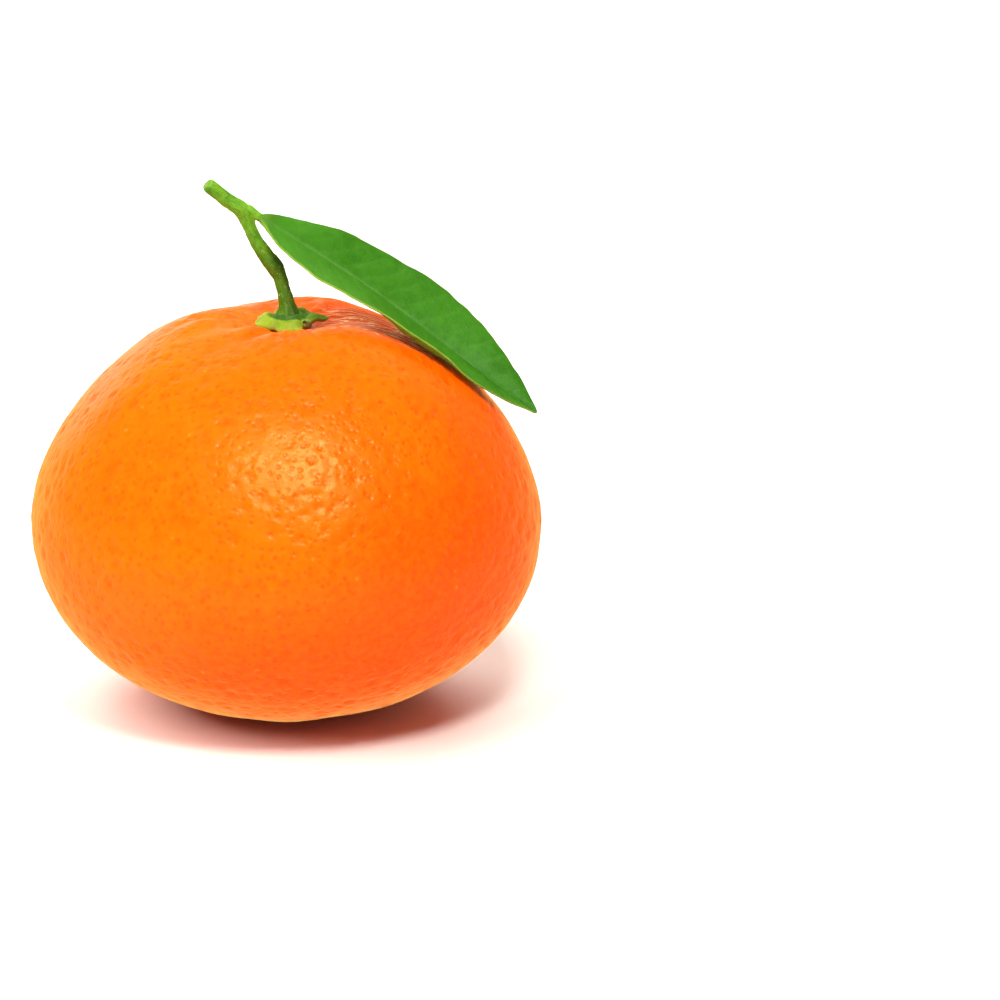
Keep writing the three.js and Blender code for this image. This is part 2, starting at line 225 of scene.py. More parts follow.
def build_peel():
    dirs, quads = ball_grid(128)
    polar = np.arccos(np.clip(dirs[:, 2], -1, 1))
    turn = np.arctan2(dirs[:, 1], dirs[:, 0])
    # the grid is finer round the stem end, where the creases are
    polar = polar - 0.32 * np.sin(polar) * (1 + np.cos(polar)) / 2
    base = fruit_points(polar, turn)
    n = vertex_normals(base, quads)
    d, zone, ridge, rho = peel_relief(base)
    # pits over the oil glands, spread evenly with a little disorder
    rng = np.random.default_rng(12)
    count = 2350
    k = np.arange(count) + 0.5
    zz = 1 - 2 * k / count
    aa = k * math.pi * (3 - math.sqrt(5))
    rr = np.sqrt(1 - zz**2)
    c = np.stack([rr * np.cos(aa), rr * np.sin(aa), zz], -1) + rng.normal(0, 0.019, (count, 3))
    c /= np.linalg.norm(c, axis=1)[:, None]
    centres = fruit_points(np.arccos(np.clip(c[:, 2], -1, 1)), np.arctan2(c[:, 1], c[:, 0]))
    size = rng.uniform(0.48, 0.84, count)
    deep = rng.uniform(0.2, 1.0, count) ** 1.2 * 0.185
    tree = KDTree(len(base))
    for i, p in enumerate(base):
        tree.insert(p, i)
    tree.balance()
    pit = np.zeros(len(base))
    for p, w, h in zip(centres, size, deep):
        for _, i, dist in tree.find_range(p, 2.4 * w):
            g = math.exp(-((dist / w) ** 2))
            pit[i] = max(pit[i], h * g * 1.0)
            d[i] += 0.18 * h * math.exp(-(((dist - 1.7 * w) / (0.5 * w)) ** 2))
    calm = 1 - 0.6 * zone
    d -= pit * calm
    r0 = np.hypot(base[:, 0], base[:, 1])
    flat = base[:, 2] < 0.02
    near_floor = smooth(0.0, 1.2, base[:, 2])
    co = base + n * (d * np.where(flat, 0.0, 0.15 + 0.85 * near_floor))[:, None]
    # the ring it rests on is flat; inside it the blossom end is dished, round a small raised scar
    turn0 = np.arctan2(base[:, 1], base[:, 0])
    dish = 0.62 * (1 - smooth(1.0, 6.6 + 0.5 * np.cos(5 * turn0 + 1), r0))
    scar = 0.30 * np.exp(-((r0 / 0.85) ** 2)) + 0.10 * np.exp(-(((r0 - 1.35) / 0.3) ** 2))
    folds = 0.09 * np.cos(8 * turn0 + 0.4) * smooth(1.2, 2.4, r0) * (1 - smooth(4.5, 6.5, r0))
    under = base[:, 2] < 1.0
    co[:, 2] = np.where(under & (r0 < 8.6), np.maximum(dish - scar + folds, 0), np.maximum(co[:, 2], 0.0))
    # the wrinkle-crest mask below carries a painted highlight, and the far-wall mask a painted shade
    ob = make_object("peel", co, quads, {
        "pit": np.clip(pit / 0.185, 0, 1) * calm, "wrinkle": zone, "crest_highlight": ridge * zone,
        "far_wall_shade": smooth(38, 46, base[:, 2]) * np.exp(-(((base[:, 0] - 11.5) / 6.5) ** 2) - ((base[:, 1] - 4.6) / 2.7) ** 2),
        "scar": np.where(under, np.exp(-((r0 / 1.25) ** 2)), 0.0),
    })
    return ob


# ---------------------------------------------------------------- the calyx
SEPALS = [
    (8, 5.5, 19, 1.5, 0.30), (66, 4.6, 22, 2.6, 0.10), (112, 4.3, 18, 2.4, 0.35), (163, 4.45, 20, 2.6, 0.45),
    (201, 4.80, 22, 2.8, 0.75), (181, 4.60, 16, 2.8, 0.60), (229, 4.05, 16, 3.0, 0.70), (262, 4.60, 20, 3.0, 0.95),
    (284, 4.85, 17, 3.2, 0.95), (321, 3.9, 10, 2.0, 0.70),
]
CALYX_TOP, CALYX_BODY_R = 53.9, 2.9


def crown_height(x, y):
    turn = np.arctan2(y, x)
    rad = np.hypot(x, y)
    polar = np.arcsin(np.clip(rad / EQUATOR_R, 0, 1))
    for _ in range(3):
        up = np.cos(polar)
        k = (1 + 0.0055 * np.cos(2 * turn) - 0.0111 * np.sin(2 * turn) + 0.0055 * np.cos(3 * turn)
             - 0.0084 * np.sin(3 * turn) + 0.009 * np.cos(10 * turn + 0.4) * up * np.sin(polar))
        polar = np.arcsin(np.clip(rad / k / EQUATOR_R, 0, 1))
    return fruit_points(polar, turn)[:, 2]


def build_calyx():
    around, rings = 288, 72
    turn = np.linspace(0, 2 * math.pi, around, endpoint=False)
    deg = np.degrees(turn)
    reach = np.full(around, CALYX_BODY_R)
    droop = np.full(around, 0.35)
    for at, far, wide, power, fall in SEPALS:
        off = np.abs((deg - at + 540) % 360 - 180)
        share = np.exp(-((off / wide) ** power))
        reach = np.maximum(reach, CALYX_BODY_R + (far - CALYX_BODY_R) * share)
        droop = np.maximum(droop, 0.35 + (fall - 0.35) * share)
    soft = np.exp(-((np.arange(-12, 13) / 4.2) ** 2))
    soft /= soft.sum()
    reach, droop = [np.convolve(np.concatenate([k[-12:], k, k[:12]]), soft, "valid") for k in (reach, droop)]
    edge = np.stack([np.cos(turn) * 4, np.sin(turn) * 4, 0 * turn], -1)
    reach = reach + 0.16 * wobble(edge, 1.1, 51) + 0.07 * wobble(edge, 0.45, 52)
    co, tone = [], []
    quads = []

    def ring(share, side):
        r = share * reach
        x, y = r * np.cos(turn), r * np.sin(turn)
        p = np.stack([STEM_X + x, y, 0 * x], -1)
        floor = crown_height(p[:, 0], p[:, 1]) - 0.10
        t = np.clip((r - 1.7) / (reach - 1.7), 0, 1)
        lobe = smooth(CALYX_BODY_R - 0.2, 4.3, reach)
        top = CALYX_TOP - droop * t**1.6 - 0.18 * smooth(0.5, 1, t) * lobe
        # a thickened collar round the stem, a dip outside it, ribs along the lobes and a blistered surface
        top += 0.22 * np.exp(-(((r - 1.55) / 0.35) ** 2)) - 0.34 * np.exp(-(((r - 2.25) / 0.42) ** 2))
        top += 0.22 * np.exp(-(((r - 3.35) / 0.8) ** 2)) * lobe
        top -= 0.03 * np.cos(deg * math.pi / 180 * 7 + 0.7) * smooth(2.2, 3.4, r)
        top += (0.14 * wobble(p, 1.3, 53) + 0.06 * wobble(p, 0.5, 54)) * smooth(1.2, 2.6, r)
        thin = 0.45 * smooth(60, 25, np.abs((deg - 30 + 540) % 360 - 180))
        thick = 1.15 - thin + 1.5 * np.exp(-((r / 2.6) ** 3)) - 0.35 * smooth(0.85, 1.0, t)
        bottom = np.maximum(floor, top - thick)
        top = np.maximum(top, bottom + 0.42)
        return x, y, top, bottom

    shares = np.sin(np.linspace(0, 1, rings + 1)[1:] * math.pi / 2)
    for side in (1, -1):
        for k, share in enumerate(shares if side > 0 else shares[::-1][1:]):
            x, y, top, bottom = ring(share, side)
            mid, half = (top + bottom) / 2, (top - bottom) / 2
            fullness = np.clip(1 - share**2, 0, 1) ** 0.22
            co.append(np.stack([STEM_X + x, y, mid + side * half * fullness], -1))
            tone.append(np.full(around, share))
    co, tone = np.vstack(co), np.concatenate(tone)
    total = len(co) // around
    for k in range(total - 1):
        a = k * around + np.arange(around)
        b = k * around + (np.arange(around) + 1) % around
        quads.append(np.stack([a, a + around, b + around, b], -1))
    quads = np.vstack(quads)
    first, last = np.arange(around), (total - 1) * around + np.arange(around)
    co = np.vstack([co, co[first].mean(0), co[last].mean(0)])
    faces = quads.tolist()
    faces += [[len(co) - 2, i, (i + 1) % around] for i in range(around)]
    base = (total - 1) * around
    faces += [[len(co) - 1, base + (i + 1) % around, base + i] for i in range(around)]
    tone = np.concatenate([tone, [0, 0]])
    rad = np.hypot(co[:, 0] - STEM_X, co[:, 1])
    bearing = np.degrees(np.arctan2(co[:, 1], co[:, 0] - STEM_X)) % 360
    dry = np.exp(-(((bearing - 321) / 9) ** 2)) * smooth(3.0, 3.6, rad)
    dry = np.maximum(dry, 0.7 * np.exp(-(((bearing - 8) / 6) ** 2)) * smooth(5.0, 5.5, rad))
    # the lobes round bearing 30 degrees, at the right and back, are a darker green
    old = 1 - smooth(45, 80, np.abs((bearing - 30 + 540) % 360 - 180))
    ob = make_object("calyx_star", co, faces, {"edge": tone, "radius": rad, "dry": dry, "old": old})
    # the stunted sepal's dry tip, curled up on itself
    tip = []
    steps = 26
    for i in range(steps):
        t = i / (steps - 1)
        a = math.radians(-150 + 330 * t)
        rr = 0.46 - 0.16 * t
        tip.append((3.05 + rr * math.cos(a) * 0.8, -2.62 - rr * math.cos(a) * 0.55, 53.20 + rr * math.sin(a), 0.20 * (1 - 0.5 * t)))
    curl = tube("calyx_tip", [np.array(p[:3]) for p in tip], [p[3] for p in tip], 12)
    return ob, curl


# ---------------------------------------------------------------- tubes
def spline(points, count):
    """Centripetal Catmull-Rom through the points, sampled evenly along its length."""
    p = np.asarray(points, float)
    p = np.vstack([2 * p[0] - p[1], p, 2 * p[-1] - p[-2]])
    fine = []
    for i in range(1, len(p) - 2):
        p0, p1, p2, p3 = p[i - 1 : i + 3]
        t0 = 0.0
        t1 = t0 + max(np.linalg.norm(p1 - p0), 1e-9) ** 0.5
        t2 = t1 + max(np.linalg.norm(p2 - p1), 1e-9) ** 0.5
        t3 = t2 + max(np.linalg.norm(p3 - p2), 1e-9) ** 0.5
        for t in np.linspace(t1, t2, 40, endpoint=False):
            a1 = (t1 - t) / (t1 - t0) * p0 + (t - t0) / (t1 - t0) * p1
            a2 = (t2 - t) / (t2 - t1) * p1 + (t - t1) / (t2 - t1) * p2
            a3 = (t3 - t) / (t3 - t2) * p2 + (t - t2) / (t3 - t2) * p3
            b1 = (t2 - t) / (t2 - t0) * a1 + (t - t0) / (t2 - t0) * a2
            b2 = (t3 - t) / (t3 - t1) * a2 + (t - t1) / (t3 - t1) * a3
            fine.append((t2 - t) / (t2 - t1) * b1 + (t - t1) / (t2 - t1) * b2)
    fine.append(p[-2])
    fine = np.array(fine)
    run = np.concatenate([[0], np.cumsum(np.linalg.norm(np.diff(fine, axis=0), axis=1))])
    want = np.linspace(0, run[-1], count)
    return np.stack([np.interp(want, run, fine[:, k]) for k in range(3)], -1), run[-1]


def tube_mesh(line, radii, around):
    """A closed tube with flat ends along a line of points."""
    line, radii = np.asarray(line, float), np.asarray(radii, float)
    ahead = np.gradient(line, axis=0)
    ahead /= np.linalg.norm(ahead, axis=1)[:, None]
    side = np.array([0.0, -1.0, 0.0])
    co = []
    a = np.linspace(0, 2 * math.pi, around, endpoint=False)
    for i in range(len(line)):
        side = side - side.dot(ahead[i]) * ahead[i]
        side /= np.linalg.norm(side)
        up = np.cross(ahead[i], side)
        co.append(line[i] + radii[i] * (np.cos(a)[:, None] * side + np.sin(a)[:, None] * up))
    n = len(line)
    co = np.vstack(co + [line[:1], line[-1:]])
    quads = []
    for k in range(n - 1):
        i = k * around + np.arange(around)
        j = k * around + (np.arange(around) + 1) % around
        quads += np.stack([i, j, j + around, i + around], -1).tolist()
    quads += [[n * around, (i + 1) % around, i] for i in range(around)]
    top = (n - 1) * around
    quads += [[n * around + 1, top + i, top + (i + 1) % around] for i in range(around)]
    return co, quads


def tube(name, points, radii, around):
    co, faces = tube_mesh(points, radii, around)
    return make_object(name, co, faces)


# ---------------------------------------------------------------- the stem
STEM = np.array([
    [0.70, 0.0, 53.2, 1.75], [0.67, 0.0, 53.9, 1.62], [0.62, 0.0, 54.45, 1.32], [0.55, 0.03, 55.0, 1.13],
    [0.38, 0.1, 55.82, 0.99], [0.1, 0.3, 57.26, 0.86], [-0.38, 0.6, 58.84, 0.9], [-0.96, 0.8, 60.03, 1.14],
    [-2.0, 0.72, 61.4, 1.06], [-2.9, 0.5, 62.9, 0.9], [-3.71, 0.3, 64.42, 0.82], [-4.2, 0.1, 65.7, 0.84],
    [-4.62, 0.0, 67.0, 1.05], [-5.4, -0.3, 68.25, 1.04], [-7.02, -0.8, 69.43, 0.96], [-8.46, -1.4, 70.82, 0.91],
    [-9.6, -1.88, 71.9, 0.87],
])
STUB = np.array([
    [-5.0, -0.2, 68.0, 0.86], [-4.45, -0.14, 67.88, 0.86], [-3.8, -0.07, 67.58, 0.76], [-3.13, -0.02, 67.2, 0.62],
    [-2.5, 0.03, 66.78, 0.56],
])


def build_stem():
    count = 260
    line, length = spline(STEM[:, :3], count)
    run = np.concatenate([[0], np.cumsum(np.linalg.norm(np.diff(STEM[:, :3], axis=0), axis=1))])
    radii = np.interp(np.linspace(0, run[-1], count), run, STEM[:, 3])
    kernel = np.hanning(15) / np.hanning(15).sum()
    radii = np.convolve(np.pad(radii, 7, mode="edge"), kernel, "valid")
    radii[-6:] *= np.array([0.995, 0.985, 0.965, 0.935, 0.89, 0.80])
    co, faces = tube_mesh(line, radii, 40)
    sline, _ = spline(STUB[:, :3], 40)
    srun = np.concatenate([[0], np.cumsum(np.linalg.norm(np.diff(STUB[:, :3], axis=0), axis=1))])
    co2, faces2 = tube_mesh(sline, np.interp(np.linspace(0, srun[-1], 40), srun, STUB[:, 3]), 28)
    # the resting bud in the leaf's axil
    bline, _ = spline([[-3.95, -0.1, 67.7], [-3.6, -0.12, 67.98], [-3.4, -0.14, 68.15]], 12)
    co3, faces3 = tube_mesh(bline, [0.42, 0.42, 0.41, 0.40, 0.38, 0.35, 0.32, 0.28, 0.24, 0.19, 0.13, 0.06], 20)
    all_co, all_faces = [], []
    for c, f in ((co, faces), (co2, faces2), (co3, faces3)):
        base = sum(len(k) for k in all_co)
        all_co.append(c)
        all_faces += [[i + base for i in q] for q in f]
    ob = make_object("stem_twig", np.vstack(all_co), all_faces)
    mod = ob.modifiers.new("join", "REMESH")
    mod.mode = "VOXEL"
    mod.voxel_size = 0.095 * MM
    relax = ob.modifiers.new("relax", "SMOOTH")
    relax.factor = 0.5
    relax.iterations = 4
    dg = bpy.context.evaluated_depsgraph_get()
    made = bpy.data.meshes.new_from_object(ob.evaluated_get(dg))
    ob.modifiers.clear()
    old = ob.data
    ob.data = made
    bpy.data.meshes.remove(old)
    me = ob.data
    p = np.zeros(len(me.vertices) * 3)
    me.vertices.foreach_get("co", p)
    p = p.reshape(-1, 3) / MM
    nrm = np.zeros(len(me.vertices) * 3)
    me.vertices.foreach_get("normal", nrm)
    nrm = nrm.reshape(-1, 3)
    tree = KDTree(count)
    for i, q in enumerate(line):
        tree.insert(q, i)
    tree.balance()
    near = np.array([tree.find(q)[1] for q in p])
    s = near / (count - 1)
    ahead = np.gradient(line, axis=0)
    ahead /= np.linalg.norm(ahead, axis=1)[:, None]
    rel = p - line[near]
    side = np.array([0.0, -1.0, 0.0])
    sides = []
    for t in ahead:
        side = side - side.dot(t) * t
        side /= np.linalg.norm(side)
        sides.append(side)
    sides = np.array(sides)
    ups = np.cross(ahead, sides)
    theta = np.arctan2((rel * ups[near]).sum(1), (rel * sides[near]).sum(1))
    # low lengthwise ribs, knobbly bark and a scar ring at the kink
    ribs = 0.05 * np.cos(7 * theta + 2.5 * s * math.pi + 0.6 * np.sin(9 * s))
    ribs += 0.022 * np.cos(17 * theta + 4 * np.sin(14 * s))
    bark = 0.055 * wobble(p, 1.1, 61) + 0.035 * wobble(p, 0.45, 62)
    kink_at = 0.375
    ring = 0.035 * np.exp(-(((s - kink_at) / 0.014) ** 2)) - 0.02 * np.exp(-(((s - kink_at - 0.024) / 0.012) ** 2))
    cap = (s > 0.9965) & ((nrm * ahead[-1]).sum(1) > 0.6)
    d = (ribs + bark + ring) * np.where(cap, 0.15, 1.0) * smooth(0.0, 0.10, s + 0.04)
    # furrows of the flared foot
    d += 0.09 * np.cos(9 * theta + 0.5) * (1 - smooth(0.02, 0.10, s))
    # the cut face: a slightly sunk pith inside a raised ring
    radial = np.linalg.norm(rel - (rel * ahead[near]).sum(1)[:, None] * ahead[near], axis=1)
    p = p + nrm * d[:, None]
    depth = np.where(cap, 0.16 * np.exp(-((radial / 0.34) ** 2)) + 0.05 * wobble(p, 0.3, 63), 0.0)
    p = p - ahead[-1] * depth[:, None]
    me.vertices.foreach_set("co", (p * MM).ravel())
    # painted shade: a darker green on the stem's right side at the kink and at the foot
    shade = np.exp(-(((s - 0.335) / 0.055) ** 2)) * smooth(0.0, 0.8, p[:, 0] - line[near][:, 0])
    shade = np.maximum(shade, 0.8 * (1 - smooth(0.07, 0.16, s)) * smooth(-0.2, 0.9, p[:, 0] - line[near][:, 0]))
    for key, val in (("along", s), ("cap", cap.astype(float)), ("radial", radial), ("shade", shade)):
        me.attributes.new(key, "FLOAT", "POINT").data.foreach_set("value", val.astype(np.float32))
    me.polygons.foreach_set("use_smooth", [True] * len(me.polygons))
    me.update()
    return ob


# ---------------------------------------------------------------- the leaf
STATIONS = np.array([0, 0.025, 0.05, 0.1, 0.2, 0.3, 0.4, 0.5, 0.6, 0.7, 0.8, 0.87, 0.93, 0.97, 1])
MIDRIB = np.array([[-2.7, 0.02, 66.9], [-1.98, 0.09, 66.39], [-1.04, 0.18, 65.76], [0.84, 0.35, 64.51], [4.58, 0.67, 61.96], [8.31, 0.9, 59.37], [12, 0.9, 56.76], [15.63, 0.9, 54.04], [19.21, 0.62, 51.29], [22.76, 0.13, 48.54], [26.33, -0.5, 45.84], [28.86, -0.86, 43.97], [31.06, -1.13, 42.41], [32.55, -1.29, 41.39], [33.69, -1.4, 40.65]])
FAR_MARGIN = np.array([[-2.45, 0.45, 67.28], [-1.41, 0.95, 67.18], [-0.26, 2.2, 66.72], [1.96, 3.79, 65.76], [6.56, 5.71, 64.2], [10.83, 6.94, 62.06], [14.94, 7.15, 59.74], [19.02, 6.71, 57.4], [22.7, 5.81, 54.66], [25.98, 4.55, 51.65], [28.93, 2.81, 48.48], [30.77, 1.57, 46.01], [32.2, 0.33, 43.69], [33.1, -0.56, 42.02], [33.75, -1.32, 40.72]])
NEAR_MARGIN = np.array([[-2.92, -0.42, 66.55], [-2.22, -1.18, 66.19], [-1.51, -2.11, 65.34], [-0.03, -3.29, 63.68], [3.45, -5.01, 61.16], [7.18, -6.05, 58.98], [11.05, -6.53, 56.91], [14.84, -6.52, 54.62], [18.5, -6.38, 52.02], [22.08, -6.07, 49.21], [25.47, -5.4, 45.98], [28.13, -4.5, 43.95], [30.67, -3.36, 42.46], [32.37, -2.38, 41.42], [33.63, -1.48, 40.57]])
FAR_BOW = np.array([[-2.58, 0.24, 67.1], [-1.67, 0.45, 66.83], [-0.61, 1.06, 66.32], [1.46, 1.86, 65.26], [5.63, 2.97, 63.21], [9.63, 3.7, 60.85], [13.53, 3.81, 58.38], [17.39, 3.58, 55.85], [21.01, 3, 53.1], [24.43, 2.12, 50.23], [27.69, 0.94, 47.3], [29.87, 0.15, 45.12], [31.66, -0.52, 43.13], [32.84, -0.98, 41.75], [33.72, -1.37, 40.69]])
NEAR_BELLY = np.array([[-2.84, -0.25, 66.68], [-2.14, -0.68, 66.24], [-1.36, -1.21, 65.45], [0.25, -1.87, 63.92], [3.84, -2.77, 61.38], [7.56, -3.3, 59.04], [11.36, -3.59, 56.75], [14.68, -3.74, 53.77], [18.12, -3.82, 50.92], [21.96, -3.73, 48.47], [25.74, -3.47, 45.83], [28.35, -3.07, 43.87], [30.79, -2.48, 42.39], [32.43, -1.95, 41.38], [33.65, -1.45, 40.6]])


def rail_at(rail, s):
    n = len(STATIONS)
    b = np.clip(np.searchsorted(STATIONS, s, side="left"), 1, n - 1)
    a = b - 1
    h = STATIONS[b] - STATIONS[a]
    k = np.clip((s - STATIONS[a]) / h, 0, 1)[:, None]
    lo, hi = np.maximum(0, np.arange(n) - 1), np.minimum(n - 1, np.arange(n) + 1)
    slope = (rail[hi] - rail[lo]) / (STATIONS[hi] - STATIONS[lo])[:, None]
    m0, m1 = slope[a] * h[:, None], slope[b] * h[:, None]
    return ((2 * k**3 - 3 * k**2 + 1) * rail[a] + (k**3 - 2 * k**2 + k) * m0
            + (-2 * k**3 + 3 * k**2) * rail[b] + (k**3 - k**2) * m1)


def blade(s, v):
    """The blade's middle surface; v runs from the near margin, -1, over the midrib, 0, to the far margin, 1."""
    s, v = np.asarray(s, float), np.asarray(v, float)
    m, nb, ne = rail_at(MIDRIB, s), rail_at(NEAR_BELLY, s), rail_at(NEAR_MARGIN, s)
    fb, fe = rail_at(FAR_BOW, s), rail_at(FAR_MARGIN, s)
    out = np.zeros((len(s), 3))
    for near, knot, bow, margin in ((True, -0.6, nb, ne), (False, 0.5, fb, fe)):
        end = -1.0 if near else 1.0
        w0 = ((v - knot) * (v - end)) / (knot * end)
        w1 = (v * (v - end)) / (knot * (knot - end))
        w2 = (v * (v - knot)) / (end * (end - knot))
        q = w0[:, None] * m + w1[:, None] * bow + w2[:, None] * margin
        pick = v < 0 if near else v >= 0
        out[pick] = q[pick]
    return out


def veins(s, v, half):
    """Distance-like value of the side veins, which leave the midrib at a slant and bend along the margin."""
    across = np.abs(v) * half
    side = np.where(v < 0, 0.5, 0.0)
    pos = s * 45.3 - across * 1.05 + 0.055 * across**2
    pos = pos + 0.25 * wobble(np.stack([s * 45.3, v * half, 0 * s], -1), 3.0, 71)
    k = pos / 3.1 + side
    off = np.abs(k - np.round(k)) * 3.1
    return off


def build_leaf():
    long_n, across_n = 260, 64
    e = np.linspace(0, 1, long_n + 1)
    s1 = e - 0.06 * np.sin(2 * math.pi * e)
    t = np.linspace(-1, 1, across_n + 1)
    v1 = np.sign(t) * np.abs(t) ** 1.15
    s, v = [g.ravel() for g in np.meshgrid(s1, v1, indexing="ij")]
    p = blade(s, v)
    step = 0.003
    along = blade(np.clip(s + step, 0, 1), v) - blade(np.clip(s - step, 0, 1), v)
    # the two halves meet in a fold, so the slope across is taken over the fold
    vv = 0.05
    cross = blade(s, np.clip(v + vv, -1, 1)) - blade(s, np.clip(v - vv, -1, 1))
    n = np.cross(along, cross)
    n /= np.maximum(np.linalg.norm(n, axis=1), 1e-9)[:, None]
    half = np.linalg.norm(blade(s, 0 * v + 1) - blade(s, 0 * v), axis=1)
    half = np.where(v < 0, np.linalg.norm(blade(s, 0 * v - 1) - blade(s, 0 * v), axis=1), half)
    across = np.abs(v) * half
    off = veins(s, v, half)
    body = smooth(0.03, 0.09, s)
    side_vein = np.exp(-((off / 0.28) ** 2)) * smooth(0.3, 1.0, across) * (1 - smooth(0.80, 0.97, np.abs(v))) * body
    quilt = -np.cos(off / 3.1 * 2 * math.pi) * smooth(0.5, 2.0, across) * (1 - smooth(0.7, 1.0, np.abs(v))) * body
    flat = np.stack([s * 45.3, v * half, 0 * s], -1)
    # gentle waves that grow towards the margin
    wave = (0.10 * wobble(flat, 4.2, 72) + 0.05 * wobble(flat, 1.7, 73)) * body
    wave += 0.16 * wobble(np.stack([s * 45.3, np.sign(v) * 9, 0 * s], -1), 3.4, 74) * smooth(0.55, 1.0, np.abs(v)) * body * (1 - smooth(0.93, 1.0, s))
    lift = wave + 0.018 * quilt
    mid_w = 0.42 * (1 - 0.55 * s)
    groove = np.exp(-((across / mid_w) ** 2)) * body
    rim = smooth(0.93, 1.0, np.abs(v))
    stalk = 0.4 * np.exp(-((s / 0.035) ** 2))
    round_edge = np.sqrt(np.clip(1 - (np.clip((np.abs(v) * half - (half - 0.22)) / 0.22, 0, 1)) ** 2, 0, 1))
    thick = (0.36 + stalk) * (0.22 + 0.78 * round_edge)
    rib = 0.35 * (1 - 0.7 * s) * (1 - np.exp(-((s / 0.05) ** 2))) * np.exp(-((across / 0.55) ** 2))
    top = p + n * (lift + thick / 2 - 0.10 * groove * (1 - 0.5 * s) - 0.018 * side_vein)[:, None]
    low = p + n * (lift - thick / 2 - rib - 0.045 * side_vein)[:, None]
    # the margin runs slightly in and out
    nick = 0.20 * wobble(np.stack([s * 45.3, np.sign(v) * 5, 0 * s], -1), 1.6, 75) * smooth(0.8, 1.0, np.abs(v)) * body * (1 - smooth(0.95, 1.0, s))
    outward = cross / np.maximum(np.linalg.norm(cross, axis=1), 1e-9)[:, None] * np.sign(v)[:, None]
    top += outward * nick[:, None]
    low += outward * nick[:, None]
    w = across_n + 1
    rows = long_n + 1
    co = np.vstack([top, low])
    faces, mats = [], []
    idx = np.arange(rows * w).reshape(rows, w)
    q = np.stack([idx[:-1, :-1], idx[1:, :-1], idx[1:, 1:], idx[:-1, 1:]], -1).reshape(-1, 4)
    faces += q.tolist()
    mats += [0] * len(q)
    ql = (q + rows * w)[:, ::-1]
    faces += ql.tolist()
    mats += [1] * len(ql)
    loop = list(idx[:, 0]) + list(idx[-1, 1:]) + list(idx[::-1, -1][1:]) + list(idx[0, ::-1][1:-1])
    loop = [int(i) for i in loop]
    base = rows * w
    for i in range(len(loop)):
        a, b = loop[i], loop[(i + 1) % len(loop)]
        faces.append([b, a, a + base, b + base])
        mats.append(2)
    two = lambda k: np.concatenate([k, k])
    ob = make_object("leaf_blade", co, faces, {
        "vein": two(side_vein), "midrib": two(np.exp(-((across / (0.27 * (1 - 0.5 * s))) ** 2))), "along": two(s),
        "rim": two(rim), "across": two(v),
    }, mats)
    # the faces must look outwards: the top's normals point along n
    me = ob.data
    f = me.polygons[int(len(q) / 2)]
    if f.normal.dot(Vector(n[f.vertices[0]])) < 0:
        me.flip_normals()
    return ob


# ---------------------------------------------------------------- materials
class Nodes:
    def __init__(self, name):
        self.material = bpy.data.materials.new(name)
        self.material.use_nodes = True
        self.tree = self.material.node_tree
        self.tree.nodes.clear()
        self.out = self.add("ShaderNodeOutputMaterial")
        self.shader = self.add("ShaderNodeBsdfPrincipled")
        self.link(self.shader.outputs[0], self.out.inputs["Surface"])
        self.coord = self.add("ShaderNodeTexCoord").outputs["Object"]

    def add(self, kind, **settings):
        node = self.tree.nodes.new(kind)
        for key, value in settings.items():
            setattr(node, key, value)
        return node

    def link(self, a, b):
        self.tree.links.new(a, b)

    def put(self, value, socket):
        if isinstance(value, bpy.types.NodeSocket):
            self.link(value, socket)
        else:
            socket.default_value = value

    def scaled(self, factor, vector=None):
        node = self.add("ShaderNodeVectorMath", operation="SCALE")
        self.put(vector or self.coord, node.inputs[0])
        node.inputs["Scale"].default_value = factor
        return node.outputs[0]

    def math(self, op, a, b=0.0, c=0.0, clamp=False):
        node = self.add("ShaderNodeMath", operation=op, use_clamp=clamp)
        for value, socket in zip((a, b, c), node.inputs):
            self.put(value, socket)
        return node.outputs[0]

    def mix(self, factor, a, b, blend="MIX"):
        node = self.add("ShaderNodeMix", data_type="RGBA", blend_type=blend)
        self.put(factor, node.inputs["Factor"])
        self.put(a if isinstance(a, bpy.types.NodeSocket) else (*a, 1), node.inputs[6])
        self.put(b if isinstance(b, bpy.types.NodeSocket) else (*b, 1), node.inputs[7])
        return node.outputs[2]

    def noise(self, per_mm, detail=3.0, rough=0.55, distortion=0.0, vector=None, fac=True):
        node = self.add("ShaderNodeTexNoise")
        self.put(vector or self.coord, node.inputs["Vector"])
        node.inputs["Scale"].default_value = 1000.0 * per_mm
        node.inputs["Detail"].default_value = detail
        node.inputs["Roughness"].default_value = rough
        node.inputs["Distortion"].default_value = distortion
        return node.outputs["Fac"] if fac else node.outputs["Color"]

    def voronoi(self, per_mm, feature="F1", randomness=1.0, vector=None):
        node = self.add("ShaderNodeTexVoronoi", feature=feature)
        self.put(vector or self.coord, node.inputs["Vector"])
        node.inputs["Scale"].default_value = 1000.0 * per_mm
        node.inputs["Randomness"].default_value = randomness
        return node

    def range(self, value, a, b, c=0.0, d=1.0, kind="SMOOTHSTEP"):
        node = self.add("ShaderNodeMapRange", interpolation_type=kind)
        self.put(value, node.inputs["Value"])
        for name, number in zip(("From Min", "From Max", "To Min", "To Max"), (a, b, c, d)):
            node.inputs[name].default_value = number
        return node.outputs[0]

    def attribute(self, name):
        return self.add("ShaderNodeAttribute", attribute_name=name).outputs["Fac"]

    def bump(self, height, distance_mm, strength=1.0, under=None):
        node = self.add("ShaderNodeBump")
        node.inputs["Strength"].default_value = strength
        node.inputs["Distance"].default_value = distance_mm * MM
        self.link(height, node.inputs["Height"])
        if under is not None:
            self.link(under, node.inputs["Normal"])
        return node.outputs[0]

    def set(self, **sockets):
        for key, value in sockets.items():
            self.put(value, self.shader.inputs[key.replace("_", " ")])


